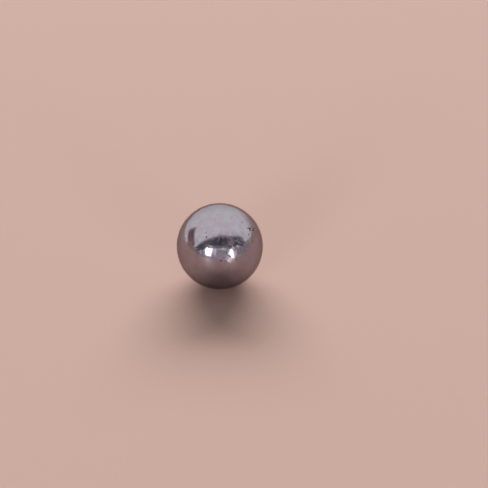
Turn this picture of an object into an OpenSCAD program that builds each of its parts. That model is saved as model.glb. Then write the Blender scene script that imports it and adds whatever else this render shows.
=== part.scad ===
// A solid steel ball, headed from wire, hardened, ground and polished: the kind that lies
// loose on a bench, runs in a bearing, clicks into a detent or flies from a sling.
// Its form is a true sphere, apart from the few small marks that handling has left on it.
// The origin is at the ball's centre, and +Z points up, away from what it lies on.

/* [Ball] */
// Diameter of the ball
ball_d = 10; // [8:0.5:50]

/* [Pits: round dents pressed in by grit] */
// Width of the widest pit
pit_w = 0.2; // [0.1:0.01:0.3]
// Depth of the widest pit
pit_depth = 0.03; // [0.01:0.005:0.04]

/* [Nicks: slits struck by a hard edge] */
// Length of the longest nick
nick_l = 0.55; // [0.4:0.05:0.6]
// Width of a nick at its middle
nick_w = 0.14; // [0.08:0.01:0.2]
// Depth of a nick at its middle
nick_depth = 0.035; // [0.025:0.005:0.05]

/* [Hidden] */
$fn = 128;

ball_r = ball_d / 2;

// Each pit: degrees round from +X, degrees up, and its size as a share of the widest
PITS = [
    [-22, 42, 1],
    [-12, 42, 0.8],
    [-16, 33, 0.8],
    [-114, 45, 1],
    [-118, 50, 0.7],
    [-143, 33, 0.8],
    [-38, 70, 0.6],
    [-66, 15, 0.8],
];

// Each nick: degrees round from +X, degrees up, how many degrees it leans to the left, seen
// from outside, and its length as a share of the longest
NICKS = [
    [-75, 21, 57, 1],
    [-79, 26, 10, 0.8],
    [-88, 16, 88, 0.8],
];

// Radius of a round tool that leaves a mark of this width and depth
function tool_r(w, depth) = (w * w / 4 + depth * depth) / (2 * depth);

// Radius of a round edge that leaves a nick of this length and depth in the ball
function edge_r(l, depth) = 1 / (8 * depth / (l * l) - 1 / ball_r);

// Turns +X to a direction from the ball's centre
module facing(round, up) rotate([0, -up, round]) children();

// The grit that pressed a pit, centred over the ball's +X side
module grit(w, depth) {
    r = tool_r(w, depth);
    translate([ball_r - depth + r, 0, 0])
        sphere(r = r);
}

// The rounded edge that struck a nick, upright over the ball's +X side
module edge(l, w, depth) {
    r = tool_r(w, depth);
    outer_r = edge_r(l, depth);
    translate([ball_r - depth + outer_r, 0, 0])
        rotate([90, 0, 0])
            rotate_extrude()
                translate([outer_r - r, 0])
                    circle(r = r);
}

module ball() {
    color("#aaa0aa")
        difference() {
            sphere(r = ball_r);
            for (p = PITS)
                facing(p[0], p[1])
                    grit(pit_w * p[2], pit_depth * p[2]);
            for (n = NICKS)
                facing(n[0], n[1])
                    rotate([n[2], 0, 0])
                        edge(nick_l * n[3], nick_w, nick_depth);
        }
}

ball();
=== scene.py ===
# %% [markdown]
# # A polished steel ball
# The object is one loose steel ball, 10 mm across. Such a ball is headed from wire, hardened, ground
# between plates and tumbled with a fine polish, so its form is a true sphere and its skin is a mirror.
# All that a viewer sees is that mirror, the wear on it and what it reflects. So the lesson has three
# steps: a mesh fine enough to reflect cleanly, a steel that shows its wear, and a plain studio.

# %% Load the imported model
import math
import random

import bmesh
import bpy
import numpy as np
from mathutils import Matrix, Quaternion, Vector


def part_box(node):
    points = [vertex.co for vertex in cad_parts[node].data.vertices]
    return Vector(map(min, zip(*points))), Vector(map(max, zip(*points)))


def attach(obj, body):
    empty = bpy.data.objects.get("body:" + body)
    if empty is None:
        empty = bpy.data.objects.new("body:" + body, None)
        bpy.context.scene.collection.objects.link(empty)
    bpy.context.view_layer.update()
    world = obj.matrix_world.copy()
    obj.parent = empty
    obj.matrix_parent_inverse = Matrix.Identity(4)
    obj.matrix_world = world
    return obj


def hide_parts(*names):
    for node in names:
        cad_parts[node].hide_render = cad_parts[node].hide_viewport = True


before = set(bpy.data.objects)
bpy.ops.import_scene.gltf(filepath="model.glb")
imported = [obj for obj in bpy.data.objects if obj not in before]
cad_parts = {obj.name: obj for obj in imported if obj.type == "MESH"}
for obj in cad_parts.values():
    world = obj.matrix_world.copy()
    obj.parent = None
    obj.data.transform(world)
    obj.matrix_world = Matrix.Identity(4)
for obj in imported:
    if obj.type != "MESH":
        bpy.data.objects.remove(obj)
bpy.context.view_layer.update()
# Lengths are in metres, unless a name ends in _MM or _mm
MM = 0.001
ball_low, ball_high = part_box("ball")
ball_r = (ball_high.z - ball_low.z) / 2
ball_r_mm = ball_r / MM
floor_z = ball_low.z
print("ball radius in mm:", round(ball_r_mm, 3))

# %% [markdown]
# ## The camera
# The ball is seen from 35 degrees above the surface it lies on, through a long lens, so its outline
# stays round. In a square frame 488 pixels wide it is 86.4 pixels across, a little left of the middle.
# One pixel is then a known length at the ball, so the camera looks at the point that lies as many
# pixels from the ball's centre as the frame's middle does.

# %% Place the camera
FRAME_PX = 488
BALL_PX = (219.8, 246.2)
BALL_WIDTH_PX = 86.4
CAMERA_UP = math.radians(35)
LENS_MM = 135
SENSOR_MM = 36
NEAREST_SEEN = 0.01
FARTHEST_SEEN = 10

pixel = 2 * ball_r / BALL_WIDTH_PX
camera_distance = pixel * FRAME_PX * LENS_MM / SENSOR_MM
towards_camera = Vector((0, -math.cos(CAMERA_UP), math.sin(CAMERA_UP)))
frame_right = Vector((1, 0, 0))
frame_up = towards_camera.cross(frame_right)
aim = (
    frame_right * (FRAME_PX / 2 - BALL_PX[0]) * pixel
    + frame_up * (BALL_PX[1] - FRAME_PX / 2) * pixel
)

camera_data = bpy.data.cameras.new("camera")
camera_data.lens = LENS_MM
camera_data.sensor_width = SENSOR_MM
camera_data.clip_start = NEAREST_SEEN
camera_data.clip_end = FARTHEST_SEEN
camera = bpy.data.objects.new("camera", camera_data)
camera.location = aim + towards_camera * camera_distance
camera.rotation_euler = (math.pi / 2 - CAMERA_UP, 0, 0)
bpy.context.scene.collection.objects.link(camera)
bpy.context.scene.camera = camera
bpy.context.scene.view_settings.view_transform = "Standard"
print("camera distance in mm:", round(camera_distance / MM, 1))

# %% [markdown]
# ## The marks on the ball
# Handling leaves two kinds of dent in hard steel. Grit presses in small round pits, and a hard edge
# strikes short slits, called nicks here. Both could be a bump in the material, but the larger ones are
# deep enough to break the outline of a reflection, so they are cut into the mesh. Each is named by its
# direction from the ball's centre, in degrees, as a point on a globe is.

# %% Name the marks that can be made out one by one
PIT_W = 0.2 * MM
PIT_DEPTH = 0.03 * MM
PIT_DIRT = 1.0
# Degrees round from +X, degrees up, and size as a share of the widest
PITS = [
    (-22, 42, 1.0),
    (-12, 42, 0.8),
    (-16, 33, 0.8),
    (-114, 45, 1.0),
    (-118, 50, 0.7),
    (-143, 33, 0.8),
    (-38, 70, 0.6),
    (-66, 15, 0.8),
]
NICK_L = 0.55 * MM
NICK_W = 0.14 * MM
NICK_DEPTH = 0.035 * MM
NICK_DIRT = 0.6
# Degrees round from +X, degrees up, degrees of lean to the left, and length as a share of the longest
NICKS = [
    (-75, 21, 57, 1.0),
    (-79, 26, 10, 0.8),
    (-88, 16, 88, 0.8),
]
print("marks to place one by one:", len(PITS) + len(NICKS))

# %% [markdown]
# A mark needs more than a place. It has a long way and a short way across the surface, a depth, and some
# grime in it. No two dents have the same rim either, so each gets a turn of its own, drawn by chance from
# a fixed seed, which gives the same ball on every run.

# %% Describe a mark
MARK_SEED = 7
chance = random.Random(MARK_SEED)


def direction(degrees_round, degrees_up):
    """Unit vector that points that way from the ball's centre."""
    a = math.radians(degrees_round)
    e = math.radians(degrees_up)
    return Vector((math.cos(a) * math.cos(e), math.sin(a) * math.cos(e), math.sin(e)))


def mark(outward, lean, length, width, depth, dirt):
    """A dent in the ball: where it is, which way it runs, its size, and how much grime it holds."""
    up = (Vector((0, 0, 1)) - outward * outward.z).normalized()
    left = outward.cross(up)
    along = up * math.cos(lean) + left * math.sin(lean)
    return {
        "outward": outward,
        "along": along,
        "across": along.cross(outward),
        "half_length": length / 2,
        "half_width": width / 2,
        "depth": depth,
        "dirt": dirt,
        "turn": chance.uniform(0, 2 * math.pi),
    }


marks = []
for around, up, share in PITS:
    size = PIT_W * share
    marks.append(mark(direction(around, up), 0, size, size, PIT_DEPTH * share, PIT_DIRT))
for around, up, lean, share in NICKS:
    length = NICK_L * share
    marks.append(
        mark(direction(around, up), math.radians(lean), length, NICK_W, NICK_DEPTH, NICK_DIRT)
    )
print("marks placed:", len(marks))

# %% [markdown]
# The rest of the ball has the same wear, only finer. A random point in a cube that is kept only inside
# the unit ball, then pushed out to the surface, leaves no corner of the ball fuller than another. One
# side has met more grit, so a patch there gets some pits of its own.

# %% Scatter the fine pits
FINE_PITS = 70
FINE_PIT_W = (0.05 * MM, 0.11 * MM)
FINE_DEPTH_SHARE = 0.13
FINE_STRETCH = (1, 1.7)
FINE_DIRT = (0.1, 1.0)
TOO_SHORT_TO_POINT = 0.1

PATCH = direction(-17, 40)
PATCH_PITS = 48
PATCH_SPREAD = (0.048, 0.32)
PATCH_GROWTH = 1.7


def anywhere():
    """A random direction, with no part of the sphere favoured."""
    while True:
        v = Vector([chance.uniform(-1, 1) for _ in range(3)])
        if TOO_SHORT_TO_POINT < v.length < 1:
            return v.normalized()


for i in range(FINE_PITS + PATCH_PITS):
    where = anywhere()
    width = chance.uniform(*FINE_PIT_W)
    if i >= FINE_PITS:
        where = (PATCH + where * chance.uniform(*PATCH_SPREAD)).normalized()
        width *= PATCH_GROWTH
    length = width * chance.uniform(*FINE_STRETCH)
    lean = chance.uniform(0, math.pi)
    dirt = chance.uniform(*FINE_DIRT)
    marks.append(mark(where, lean, length, width, width * FINE_DEPTH_SHARE, dirt))
print("marks in all:", len(marks))

# %% [markdown]
# ## The ball's mesh
# A globe of quads would pinch its faces at two poles, and the mirror would show it. An icosphere has
# nearly equal triangles everywhere. With a tenth of a millimetre between its points, smooth shading
# hides every facet. Around each mark the triangles are split in four, three times over, so that the dent
# has points enough for a crisp edge, while the plain steel between the marks stays light. A triangle is
# split on all its sides or none, as one split on a single side would leave slivers.

# %% Build a sphere that is finer round the marks
ICOSPHERE_LEVEL = 7
SPLITS = 3
# The uneven rims that are made below reach at most 1.16 times a mark's half length
REACH = 1.2


def near_marks(points, margin):
    """For each point, whether it lies on some mark or its rim, or within a margin beyond."""
    found = np.zeros(len(points), bool)
    for m in marks:
        reach = m["half_length"] * REACH + margin
        away = np.linalg.norm(points - np.array(m["outward"]) * ball_r, axis=1)
        found |= away < reach
    return found


bm = bmesh.new()
bmesh.ops.create_icosphere(bm, subdivisions=ICOSPHERE_LEVEL, radius=ball_r)
edge_length = np.mean([e.calc_length() for e in bm.edges])
for split in range(SPLITS):
    centres = np.array([f.calc_center_median() for f in bm.faces])
    for face, close in zip(bm.faces, near_marks(centres, edge_length / 2**split)):
        face.tag = bool(close)
    edges = [e for e in bm.edges if any(face.tag for face in e.link_faces)]
    bmesh.ops.subdivide_edges(bm, edges=edges, cuts=1, use_grid_fill=True)
    bmesh.ops.triangulate(bm, faces=[f for f in bm.faces if len(f.verts) > 3])
finest = edge_length / 2**SPLITS
print("mm between points:", round(edge_length / MM, 3), "and in a dent:", round(finest / MM, 3))

# %% [markdown]
# Splitting leaves a few faces with all three corners in line, and each would show as a speck in the
# mirror. Its long side is turned to join the two corners across it, which gives two sound faces. The
# points that the splits added lie on straight edges, so they are pushed out to the sphere last.

# %% Turn the slivers
# An equal-sided triangle's area is 0.43 times its side squared, and a sliver's is next to nothing
SLIVER = 0.02

long_sides = []
for face in bm.faces:
    longest = max(face.edges, key=lambda edge: edge.calc_length())
    if face.calc_area() < SLIVER * longest.calc_length() ** 2:
        long_sides.append(longest)
bmesh.ops.rotate_edges(bm, edges=long_sides)
for v in bm.verts:
    v.co = v.co.normalized() * ball_r
print("slivers turned:", len(long_sides))

# %% [markdown]
# A real dent is a shallow bowl with an uneven rim. The rim starts as an ellipse and is then pushed in and
# out twice and three times on its way round, each dent with its own turn. Where two dents meet, the
# deeper one wins, as it does in metal. The grime that settles in a dent is kept on the mesh as a value for
# each point, which the steel's material reads later.

# %% Press the dents in
TWO_LOBES = 0.16
THREE_LOBES = 0.1


def depth_below(points):
    """How far the worn surface lies below the true sphere at each point, and the grime there."""
    deepest = np.zeros(len(points))
    dirtiest = np.zeros(len(points))
    for m in marks:
        offset = points - np.array(m["outward"]) * ball_r
        s = (offset @ np.array(m["along"])) / m["half_length"]
        t = (offset @ np.array(m["across"])) / m["half_width"]
        same_side = points @ np.array(m["outward"]) > 0
        angle = np.arctan2(t, s)
        two = TWO_LOBES * np.sin(2 * angle + m["turn"])
        three = THREE_LOBES * np.sin(3 * angle + 2 * m["turn"])
        share = np.clip(1 - (s * s + t * t) * (1 + two + three), 0, None) * same_side
        deepest = np.maximum(deepest, m["depth"] * share)
        dirtiest = np.maximum(dirtiest, m["dirt"] * share)
    return deepest, dirtiest


depths, dirts = depth_below(np.array([v.co for v in bm.verts]))
for v, depth in zip(bm.verts, depths):
    v.co = v.co.normalized() * (ball_r - depth)
for face in bm.faces:
    face.smooth = True
print("deepest dent in mm:", round(float(depths.max()) / MM, 3))

# %% Make the ball's object
ball_mesh = bpy.data.meshes.new("steel_ball")
bm.to_mesh(ball_mesh)
bm.free()
grime = ball_mesh.attributes.new("grime", "FLOAT", "POINT")
grime.data.foreach_set("value", dirts.astype(np.float32))
steel_ball = bpy.data.objects.new("steel_ball", ball_mesh)
bpy.context.scene.collection.objects.link(steel_ball)
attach(steel_ball, "root")
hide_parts("ball")
print("triangles:", len(ball_mesh.polygons))

# %% [markdown]
# ## Two helpers for materials
# A colour is easiest to pick as the hex value that a screen shows. A shader works on light, so each value
# goes through one function that takes the screen's curve off it. Every material here is a tree of nodes,
# and a second function adds one node to a tree with its settings and its links.

# %% Colours and nodes


def light_of(hex_colour, strength=1.0):
    """Linear RGBA for an sRGB hex value such as 'c0c0c4'."""
    channels = [int(hex_colour[i : i + 2], 16) / 255 for i in (0, 2, 4)]
    linear = [c / 12.92 if c <= 0.04045 else ((c + 0.055) / 1.055) ** 2.4 for c in channels]
    return (*[c * strength for c in linear], 1.0)


def node(tree, kind, settings=None, inputs=None):
    """Adds one node with its settings, and gives each input a value or a link."""
    made = tree.nodes.new(kind)
    for name, value in (settings or {}).items():
        setattr(made, name, value)
    for name, value in (inputs or {}).items():
        if isinstance(value, bpy.types.NodeSocket):
            tree.links.new(value, made.inputs[name])
        else:
            made.inputs[name].default_value = value
    return made


print("middle grey on a screen, as light:", round(light_of("808080")[0], 3))

# %% [markdown]
# ## Polished bearing steel
# The real metal is a hard chromium steel, ground and then tumbled to a mirror. Its colour is a neutral
# grey, darker than silver or chrome plate. Three things keep it from looking like a computer's sphere:
# hairline scratches, which catch a lamp and draw bright arcs round it; a faint haze from fingers,
# which softens the reflection in patches; and grime in the dents. All of its patterns are laid out in
# millimetres on the ball itself, so they turn with it and don't slide when the camera moves.

# %% Start the steel
# A metal's colour is the colour of its reflections. Near the outline steel doesn't brighten quite to
# white, and the tint that holds there is set a little below white: partly the steel's own edge tint, and
# partly painted shade that darkens the ball's outline.
RIM_TINT_AND_SHADE = "c8c0c0"

steel = bpy.data.materials.new("polished_bearing_steel")
steel.use_nodes = True
tree = steel.node_tree
tree.nodes.clear()
output = node(tree, "ShaderNodeOutputMaterial")
surface = node(
    tree,
    "ShaderNodeBsdfPrincipled",
    inputs={"Metallic": 1.0, "Specular Tint": light_of(RIM_TINT_AND_SHADE)},
)
tree.links.new(surface.outputs["BSDF"], output.inputs["Surface"])
coordinates = node(tree, "ShaderNodeTexCoord")
in_mm = node(
    tree,
    "ShaderNodeVectorMath",
    {"operation": "SCALE"},
    {0: coordinates.outputs["Object"], "Scale": 1 / MM},
)
position = in_mm.outputs["Vector"]
ball_mesh.materials.append(steel)
print("material:", steel.name)

# %% [markdown]
# ### Hairline scratches
# A scratch on a loose ball is a short, nearly straight groove that may run any way. Painting them one by
# one would take a picture. Here they come in families instead. For one family the ball is turned at
# random and wrapped in a cylinder, whose sheet is cut into long thin cells, each with one groove in it,
# so all its grooves run round the same axis. Several families together run every way. A cylinder's sheet
# pinches at its two ends, so each family fades out before it gets there. A slow wander of the
# coordinates first keeps the grooves from being perfectly straight.

# %% Let the scratches wander
BEND_MM = 0.5
BEND_SPACING_MM = 3.3

wander = node(
    tree,
    "ShaderNodeTexNoise",
    inputs={"Vector": position, "Scale": 1 / BEND_SPACING_MM, "Detail": 1.0},
)
pushed = node(
    tree,
    "ShaderNodeVectorMath",
    {"operation": "MULTIPLY_ADD"},
    {0: wander.outputs["Color"], 1: (BEND_MM, BEND_MM, BEND_MM), 2: position},
)
bent = pushed.outputs["Vector"]
print("a scratch wanders by up to", BEND_MM, "mm")

# %% Wrap a turned cylinder round the ball
SCRATCH_SEED = 4
turns = random.Random(SCRATCH_SEED)


def cylinder_sheet(cells_around_per_mm, cells_across_per_mm):
    """A turned cylinder's flat sheet, counted in cells, and the place along the cylinder's axis."""
    turned = node(
        tree,
        "ShaderNodeMapping",
        {"vector_type": "TEXTURE"},
        {"Vector": bent, "Rotation": [turns.uniform(0, 2 * math.pi) for _ in range(3)]},
    )
    split = node(tree, "ShaderNodeSeparateXYZ", inputs={0: turned.outputs["Vector"]})
    around = node(
        tree,
        "ShaderNodeMath",
        {"operation": "ARCTAN2"},
        {0: split.outputs["Y"], 1: split.outputs["X"]},
    )
    along = node(
        tree,
        "ShaderNodeMath",
        {"operation": "MULTIPLY"},
        {0: around.outputs[0], 1: ball_r_mm * cells_around_per_mm},
    )
    across = node(
        tree,
        "ShaderNodeMath",
        {"operation": "MULTIPLY"},
        {0: split.outputs["Z"], 1: cells_across_per_mm},
    )
    flat = node(
        tree, "ShaderNodeCombineXYZ", inputs={"X": along.outputs[0], "Y": across.outputs[0]}
    )
    return flat.outputs["Vector"], split.outputs["Z"]


print("the first family's turn starts from seed", SCRATCH_SEED)

# %% Cut one groove in each cell
# Where a family fades out, as shares of the ball's radius along its axis
FADE = (0.7, 0.9)


def scratch_family(length_mm, width_mm, share):
    """1 along the middle of each scratch of one family, and 0 where it leaves the steel untouched."""
    # A groove reaches the share of a cell each way from its middle, so a larger share packs them closer
    sheet, axis_place = cylinder_sheet(2 * share / length_mm, 2 * share / width_mm)
    cells = node(
        tree,
        "ShaderNodeTexVoronoi",
        {"voronoi_dimensions": "2D"},
        {"Vector": sheet, "Scale": 1.0},
    )
    groove = node(
        tree,
        "ShaderNodeMapRange",
        {"interpolation_type": "SMOOTHSTEP"},
        {"Value": cells.outputs["Distance"], "From Max": share, "To Min": 1.0, "To Max": 0.0},
    )
    # Each cell's own random colour makes some scratches deep and some faint
    uneven = node(
        tree,
        "ShaderNodeMath",
        {"operation": "MULTIPLY"},
        {0: groove.outputs["Result"], 1: cells.outputs["Color"]},
    )
    height = node(tree, "ShaderNodeMath", {"operation": "ABSOLUTE"}, {0: axis_place})
    fading = node(
        tree,
        "ShaderNodeMapRange",
        inputs={
            "Value": height.outputs[0],
            "From Min": FADE[0] * ball_r_mm,
            "From Max": FADE[1] * ball_r_mm,
            "To Min": 1.0,
            "To Max": 0.0,
        },
    )
    kept = node(
        tree,
        "ShaderNodeMath",
        {"operation": "MULTIPLY"},
        {0: uneven.outputs[0], 1: fading.outputs["Result"]},
    )
    return kept.outputs[0]


print("mm along its axis where a family fades out:", [round(share * ball_r_mm, 2) for share in FADE])

# %% [markdown]
# Real hairlines are a hundredth of a millimetre wide, which is less than a tenth of a pixel here, so all
# three kinds are drawn several times coarser than real. The finest are everywhere. A few longer and
# deeper ones cross them. The third kind is short and lies close, and it belongs to a rubbed patch on the
# front: it is what draws the bright streaks round a lamp's reflection. There are fifteen families in all.
# With twenty the material outgrows the renderer's memory for it, and its bumps bake to a flat map.

# %% Scratch the steel
FINE_DEPTH_MM = 0.004
COARSE_DEPTH_MM = 0.009
RUBBED_DEPTH_MM = 0.012


def scratches(families, length_mm, width_mm, share):
    """The deepest scratch at each point, out of so many families."""
    deepest = scratch_family(length_mm, width_mm, share)
    for _ in range(families - 1):
        another = scratch_family(length_mm, width_mm, share)
        both = node(tree, "ShaderNodeMath", {"operation": "MAXIMUM"}, {0: deepest, 1: another})
        deepest = both.outputs[0]
    return deepest


fine = scratches(7, length_mm=1.8, width_mm=0.035, share=0.1)
coarse = scratches(3, length_mm=2.2, width_mm=0.08, share=0.06)
rubbed = scratches(5, length_mm=0.9, width_mm=0.06, share=0.22)
print("scratch depths in mm:", FINE_DEPTH_MM, COARSE_DEPTH_MM, RUBBED_DEPTH_MM)

# %% [markdown]
# A patch on the ball is named as a dent is, by its direction from the centre. It is whole out to some
# distance from there and fades to nothing at a longer one, so it has no edge that a viewer could find.

# %% Keep the rubbed scratches in their patch
RUB = direction(-66, 32)
RUB_REACH_MM = (0.8, 3.4)


def patch_at(outward, whole_mm, gone_mm):
    """1 out to the first distance from a place on the ball, fading to 0 at the second."""
    away = node(
        tree,
        "ShaderNodeVectorMath",
        {"operation": "DISTANCE"},
        {0: position, 1: outward * ball_r_mm},
    )
    fading = node(
        tree,
        "ShaderNodeMapRange",
        {"interpolation_type": "SMOOTHSTEP"},
        {
            "Value": away.outputs["Value"],
            "From Min": whole_mm,
            "From Max": gone_mm,
            "To Min": 1.0,
            "To Max": 0.0,
        },
    )
    return fading.outputs["Result"]


in_rub = patch_at(RUB, *RUB_REACH_MM)
rubbed_here = node(tree, "ShaderNodeMath", {"operation": "MULTIPLY"}, {0: rubbed, 1: in_rub})
print("the rubbed patch fades out", RUB_REACH_MM[1], "mm from its middle")

# %% [markdown]
# ### Ripple and grain
# Under the scratches the polish itself isn't perfect. Tumbling leaves a ripple about half a millimetre
# from crest to crest, which makes the edge of a reflection tremble. Wear adds a finer grain, more of it
# in the rubbed patch and most where the grit has pitted the ball. The real grain is too fine to show, so
# it is drawn coarser. Both are noise. All heights add up in millimetres and go into one bump node, which
# turns them into a change of slope, as the real surface has.

# %% Add up the heights
RIPPLE_SPACING_MM = 0.45
RIPPLE_DEPTH_MM = 0.003
GRAIN_SPACING_MM = 0.17
GRAIN_DEPTH_MM = 0.002
RUBBED_GRAIN_MM = 0.002
PITTED_GRAIN_MM = 0.03
PITTED_REACH_MM = (0.3, 2.0)

ripple = node(
    tree,
    "ShaderNodeTexNoise",
    inputs={"Vector": position, "Scale": 1 / RIPPLE_SPACING_MM, "Detail": 2.0},
)
grain = node(
    tree,
    "ShaderNodeTexNoise",
    inputs={"Vector": position, "Scale": 1 / GRAIN_SPACING_MM, "Detail": 1.0},
)
grain_depth = GRAIN_DEPTH_MM
for patch, more in [
    (in_rub, RUBBED_GRAIN_MM),
    (patch_at(PATCH, *PITTED_REACH_MM), PITTED_GRAIN_MM),
]:
    deeper = node(
        tree, "ShaderNodeMath", {"operation": "MULTIPLY_ADD"}, {0: patch, 1: more, 2: grain_depth}
    )
    grain_depth = deeper.outputs[0]

height = 0.0
for pattern, depth in [
    (fine, -FINE_DEPTH_MM),
    (coarse, -COARSE_DEPTH_MM),
    (rubbed_here.outputs[0], -RUBBED_DEPTH_MM),
    (grain.outputs["Fac"], grain_depth),
    (ripple.outputs["Fac"], RIPPLE_DEPTH_MM),
]:
    added = node(
        tree, "ShaderNodeMath", {"operation": "MULTIPLY_ADD"}, {0: pattern, 1: depth, 2: height}
    )
    height = added.outputs[0]
bump = node(tree, "ShaderNodeBump", inputs={"Height": height, "Distance": MM, "Strength": 1.0})
tree.links.new(bump.outputs["Normal"], surface.inputs["Normal"])
print("nodes in the steel so far:", len(tree.nodes))

# %% [markdown]
# ### Colour
# Handled steel isn't one grey. A film from the skin shifts it between a lilac grey and a plain, slightly
# lighter one, in ragged patches about a millimetre across. In the dents, oil and dust have set to a brown
# black that no cloth reaches. The grime value that the mesh carries says where that is.

# %% Colour the steel
STEEL_UNDER_FILM = "9e919e"
STEEL_BARE = "a09da2"
GRIME = "484244"
FILM_SPACING_MM = 0.9
FILM_RAGGED = 0.7
FILM_EDGE = (0.35, 0.65)
# A dent is fully dark where its grime value passes this
GRIME_FULL = 0.5

film = node(
    tree,
    "ShaderNodeTexNoise",
    inputs={
        "Vector": position,
        "Scale": 1 / FILM_SPACING_MM,
        "Detail": 6.0,
        "Roughness": FILM_RAGGED,
    },
)
film_share = node(
    tree,
    "ShaderNodeMapRange",
    {"interpolation_type": "SMOOTHSTEP"},
    {"Value": film.outputs["Fac"], "From Min": FILM_EDGE[0], "From Max": FILM_EDGE[1]},
)
tint = node(
    tree,
    "ShaderNodeMix",
    {"data_type": "RGBA"},
    {"Factor": film_share.outputs["Result"], 6: light_of(STEEL_UNDER_FILM), 7: light_of(STEEL_BARE)},
)
grime_here = node(
    tree, "ShaderNodeAttribute", {"attribute_name": "grime", "attribute_type": "GEOMETRY"}
)
grime_share = node(
    tree,
    "ShaderNodeMapRange",
    {"interpolation_type": "SMOOTHSTEP"},
    {"Value": grime_here.outputs["Fac"], "From Min": 0.0, "From Max": GRIME_FULL},
)
dirty = node(
    tree,
    "ShaderNodeMix",
    {"data_type": "RGBA"},
    {"Factor": grime_share.outputs["Result"], 6: tint.outputs[2], 7: light_of(GRIME)},
)
tree.links.new(dirty.outputs[2], surface.inputs["Base Color"])
print("steel greys:", STEEL_UNDER_FILM, STEEL_BARE, "and grime:", GRIME)

# %% [markdown]
# ### Haze
# A new mirror polish has a roughness near 0.05. Fingers leave a haze on it that comes and goes over a few
# millimetres, a scratched spot is rougher than a clean one, and grime is nearly matt.

# %% Haze the polish
HAZE_SPACING_MM = 2.9
HAZE_NOISE = (0.3, 0.7)
HAZE_ROUGHNESS = (0.08, 0.13)
SCRATCH_ROUGHNESS = 0.15
GRIME_ROUGHNESS = 0.3

smudges = node(
    tree,
    "ShaderNodeTexNoise",
    inputs={"Vector": position, "Scale": 1 / HAZE_SPACING_MM, "Detail": 4.0},
)
haze = node(
    tree,
    "ShaderNodeMapRange",
    inputs={
        "Value": smudges.outputs["Fac"],
        "From Min": HAZE_NOISE[0],
        "From Max": HAZE_NOISE[1],
        "To Min": HAZE_ROUGHNESS[0],
        "To Max": HAZE_ROUGHNESS[1],
    },
)
scratched = node(
    tree,
    "ShaderNodeMath",
    {"operation": "MULTIPLY_ADD"},
    {0: fine, 1: SCRATCH_ROUGHNESS, 2: haze.outputs["Result"]},
)
grimed = node(
    tree,
    "ShaderNodeMath",
    {"operation": "MULTIPLY_ADD"},
    {0: grime_share.outputs["Result"], 1: GRIME_ROUGHNESS, 2: scratched.outputs[0]},
)
tree.links.new(grimed.outputs[0], surface.inputs["Roughness"])
print("nodes in the finished steel:", len(tree.nodes))

# %% [markdown]
# ## The floor
# The ball lies on a sheet of warm pale card. It could be a box or a curved backdrop, but a mirror ball
# shows all of it, so one flat square that reaches far past the view is best: its far edge is then the
# ball's horizon.

# %% Lay the floor
FLOOR_HALF = 1.5
# Uncoated card pressed smooth: it scatters light, with a dull sheen where it is seen nearly edge-on
CARD_COLOUR = "cdab9f"
CARD_ROUGHNESS = 0.6

floor_mesh = bpy.data.meshes.new("floor")
corners = [(-1, -1), (1, -1), (1, 1), (-1, 1)]
floor_mesh.from_pydata(
    [(x * FLOOR_HALF, y * FLOOR_HALF, floor_z) for x, y in corners], [], [(0, 1, 2, 3)]
)
floor = bpy.data.objects.new("floor", floor_mesh)
bpy.context.scene.collection.objects.link(floor)
card_stock = bpy.data.materials.new("uncoated_card")
card_stock.use_nodes = True
card_shader = card_stock.node_tree.nodes["Principled BSDF"]
card_shader.inputs["Base Color"].default_value = light_of(CARD_COLOUR)
card_shader.inputs["Roughness"].default_value = CARD_ROUGHNESS
floor_mesh.materials.append(card_stock)
print("floor is", 2 * FLOOR_HALF, "m wide, at z =", round(floor_z / MM, 3), "mm")

# %% [markdown]
# ## The light tent
# A mirror has no look of its own: it shows the room. A polished thing is therefore set in a tent of white
# cloth with an opening for the camera, and dark or bright cards are hung in it where the form needs an
# edge. The tent could be built of planes. It is painted on the world instead, which costs no meshes and
# lies far away on all sides, as a real room nearly does for a ball this small. Each shape is a mask over
# directions, given in degrees round from the camera and degrees up.

# %% Start the world
world = bpy.data.worlds.new("light_tent")
bpy.context.scene.world = world
world.use_nodes = True
sky = world.node_tree
sky.nodes.clear()
world_output = node(sky, "ShaderNodeOutputWorld")
background = node(sky, "ShaderNodeBackground")
sky.links.new(background.outputs["Background"], world_output.inputs["Surface"])
ray = node(sky, "ShaderNodeTexCoord").outputs["Generated"]
ray_kind = node(sky, "ShaderNodeLightPath")
CAMERA_ROUND = -90


def within(azimuth, elevation, half_angle, blur):
    """1 for rays within so many degrees of a direction, 0 beyond, with a blurred edge between."""
    axis = direction(azimuth + CAMERA_ROUND, elevation)
    towards = node(sky, "ShaderNodeVectorMath", {"operation": "DOT_PRODUCT"}, {0: ray, 1: axis})
    edge = node(
        sky,
        "ShaderNodeMapRange",
        {"interpolation_type": "SMOOTHSTEP"},
        {
            "Value": towards.outputs["Value"],
            "From Min": math.cos(math.radians(half_angle + blur)),
            "From Max": math.cos(math.radians(half_angle - blur)),
        },
    )
    return edge.outputs["Result"]


print("the camera stands at", CAMERA_ROUND, "degrees round from +X")

# %% Hang a card in the tent


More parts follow.
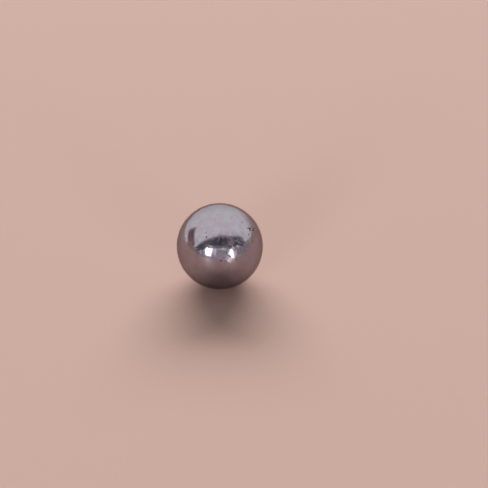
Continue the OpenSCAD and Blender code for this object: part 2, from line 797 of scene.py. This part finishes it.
def card(azimuth, elevation, width, height, blur, tilt=0):
    """1 on a card hung in that direction, 0 off it. Sizes and tilt are in degrees, blur is a share."""
    centre = direction(azimuth + CAMERA_ROUND, elevation)
    upright = centre.to_track_quat("X", "Z")
    tilted = upright @ Quaternion((1, 0, 0), math.radians(tilt))
    placed = node(
        sky,
        "ShaderNodeMapping",
        {"vector_type": "TEXTURE"},
        {
            "Vector": ray,
            "Location": centre,
            "Rotation": tilted.to_euler(),
            "Scale": (1.0, math.radians(width) / 2, math.radians(height) / 2),
        },
    )
    shares = node(sky, "ShaderNodeVectorMath", {"operation": "ABSOLUTE"}, {0: placed.outputs[0]})
    split = node(sky, "ShaderNodeSeparateXYZ", inputs={0: shares.outputs[0]})
    wider = node(
        sky, "ShaderNodeMath", {"operation": "MAXIMUM"}, {0: split.outputs[1], 1: split.outputs[2]}
    )
    # Along the card's own axis a ray's share stays under 1 only on the card's side of the sky
    away = node(
        sky, "ShaderNodeMath", {"operation": "MAXIMUM"}, {0: wider.outputs[0], 1: split.outputs[0]}
    )
    edge = node(
        sky,
        "ShaderNodeMapRange",
        {"interpolation_type": "SMOOTHSTEP"},
        {"Value": away.outputs[0], "From Min": 1 + blur, "From Max": 1 - blur},
    )
    return edge.outputs["Result"]


print("a card one degree wide is", round(math.radians(1), 4), "of its distance across")

# %% [markdown]
# Through the opening the ball sees a dim room, which becomes the dark arched band across its front. The
# room isn't even, so two greys are mixed by a cloudy noise.

# %% Dim the room beyond the opening
ROOM_DARK = "58545c"
ROOM_LIGHT = "787478"
CLOUDS_PER_TURN = 3.0
CLOUD_EDGE = (0.35, 0.65)

clouds = node(
    sky, "ShaderNodeTexNoise", inputs={"Vector": ray, "Scale": CLOUDS_PER_TURN, "Detail": 3.0}
)
cloudy = node(
    sky,
    "ShaderNodeMapRange",
    inputs={
        "Value": clouds.outputs["Fac"],
        "From Min": CLOUD_EDGE[0],
        "From Max": CLOUD_EDGE[1],
    },
)
dim_room = node(
    sky,
    "ShaderNodeMix",
    {"data_type": "RGBA"},
    {"Factor": cloudy.outputs["Result"], 6: light_of(ROOM_DARK), 7: light_of(ROOM_LIGHT)},
)
print("room greys:", ROOM_DARK, ROOM_LIGHT)

# %% [markdown]
# The tent is then painted in layers, from the cloth inwards, each over the ones before it. A layer is a
# mask and a colour, so the whole set-up reads as a list.

# %% Paint the tent
CLOTH = "fbfffd"
TABLE_EDGE_LIT = 1.3
# The foot of the cloth is where two round masks overlap
foot = node(
    sky,
    "ShaderNodeMath",
    {"operation": "MULTIPLY"},
    {0: within(90, -85.4, 101.5, 3), 1: within(12, 0, 84, 4)},
)
# A mask is within(round, up, half angle, blur) or card(round, up, width, height, blur, tilt)
layers = [
    # The roof, whiter than the walls
    (within(0, 90, 60, 15), light_of("ffffff")),
    # The opening in front, and a round bite out of the cloth at its right end
    (within(7.5, -19.5, 81.5, 2), dim_room.outputs[2]),
    (within(61, 29, 17, 3), dim_room.outputs[2]),
    # The table in front, lit by the lamps, and the shaded foot of the cloth
    (within(-4, -42, 70, 2), light_of("b6b6bc")),
    (foot.outputs[0], light_of("a29ca4")),
    # The camera's own dark shape, and the room's darkest corner
    (card(2, 44, 13, 36, 0.4), light_of("545058")),
    (within(64, 30, 9, 6), light_of("4a4450")),
    # A brown-grey card on the left, for a dark edge there
    (card(-97, 15, 38, 22, 0.15, tilt=-26), light_of("8a6a6e")),
    # The table's bright front edge
    (card(2, 27, 40, 4, 0.5), light_of("ffffff", TABLE_EDGE_LIT)),
    # A pale sheen on the table between the lamps, and a glow round each lamp and below it
    (card(2, 5, 26, 14, 1.0), light_of("c4c0c8")),
    (card(-30, 11, 14, 24, 1.0), light_of("e8e4ec")),
    (card(32, 11, 8, 17, 1.0), light_of("e0dce4")),
    # Two low cards in a shade of the floor: one rounds off the opening's left end, and one stands
    # behind the ball on the right, where it keeps the cloth's reflection off the very edge
    (card(-82, 1, 34, 19, 0.15), light_of("b09489")),
    (card(116, 4, 56, 13, 0.5), light_of("b09489")),
]
tent = light_of(CLOTH)
for mask, colour in layers:
    layer = node(
        sky, "ShaderNodeMix", {"data_type": "RGBA"}, {"Factor": mask, 6: tent, 7: colour}
    )
    tent = layer.outputs[2]
print("layers in the tent:", len(layers))

# %% [markdown]
# The tent's white cloth is the background, and the mirror shows it as the camera does. What hangs in the
# tent is there for the mirror alone: a ray from the camera meets the bare cloth, so the background is
# plain and pale from every side. The floor is lit mostly by the lamps, so the tent's light on it is
# turned down.

# %% Keep the bare cloth for the camera
# The lamps make the cloth a little brighter than plain white, which the mirror shows
CLOTH_LIT = 1.15
LIGHT_ON_FLOOR = 0.15

lit = node(sky, "ShaderNodeVectorMath", {"operation": "SCALE"}, {0: tent, "Scale": CLOTH_LIT})
seen = node(
    sky,
    "ShaderNodeMix",
    {"data_type": "RGBA"},
    {
        "Factor": ray_kind.outputs["Is Camera Ray"],
        6: lit.outputs["Vector"],
        7: light_of(CLOTH),
    },
)
sky.links.new(seen.outputs[2], background.inputs["Color"])
strength = node(
    sky,
    "ShaderNodeMapRange",
    inputs={
        "Value": ray_kind.outputs["Is Diffuse Ray"],
        "To Min": 1.0,
        "To Max": LIGHT_ON_FLOOR,
    },
)
sky.links.new(strength.outputs["Result"], background.inputs["Strength"])
print("nodes in the world:", len(sky.nodes))

# %% [markdown]
# ## The lamps
# Two softboxes stand in front, just above the table. They are small, so what they give is the pair of
# highlights. A third, large one behind the ball lights the floor and lays the soft shadow towards the
# camera. A mirror would show it as a white wall, so the ball doesn't see that one.

# %% Set up the lamps
FRONT_LAMPS_FAR = 0.5
BACK_LAMP_FAR = 2.0


def lamp(name, azimuth, elevation, width, height, brightness, far):
    """A softbox that faces the ball. Its brightness is in times that of white cloth."""
    data = bpy.data.lights.new(name, "AREA")
    data.shape = "RECTANGLE"
    data.size = width
    data.size_y = height
    # White cloth gives off pi watts from each square metre
    data.energy = brightness * math.pi * width * height
    made = bpy.data.objects.new(name, data)
    place = direction(azimuth + CAMERA_ROUND, elevation) * far
    made.location = place
    made.rotation_euler = (-place).to_track_quat("-Z", "Y").to_euler()
    made.visible_camera = False
    bpy.context.scene.collection.objects.link(made)
    print(name, "gives", round(data.energy, 2), "W")
    return made


lamp("lamp_left", -30, 16, width=0.12, height=0.145, brightness=10, far=FRONT_LAMPS_FAR)
lamp("lamp_right", 32, 11, width=0.065, height=0.18, brightness=10, far=FRONT_LAMPS_FAR)
lamp_behind = lamp("lamp_behind", 180, 34, width=2.6, height=1.0, brightness=7.6, far=BACK_LAMP_FAR)
lamp_behind.visible_glossy = False
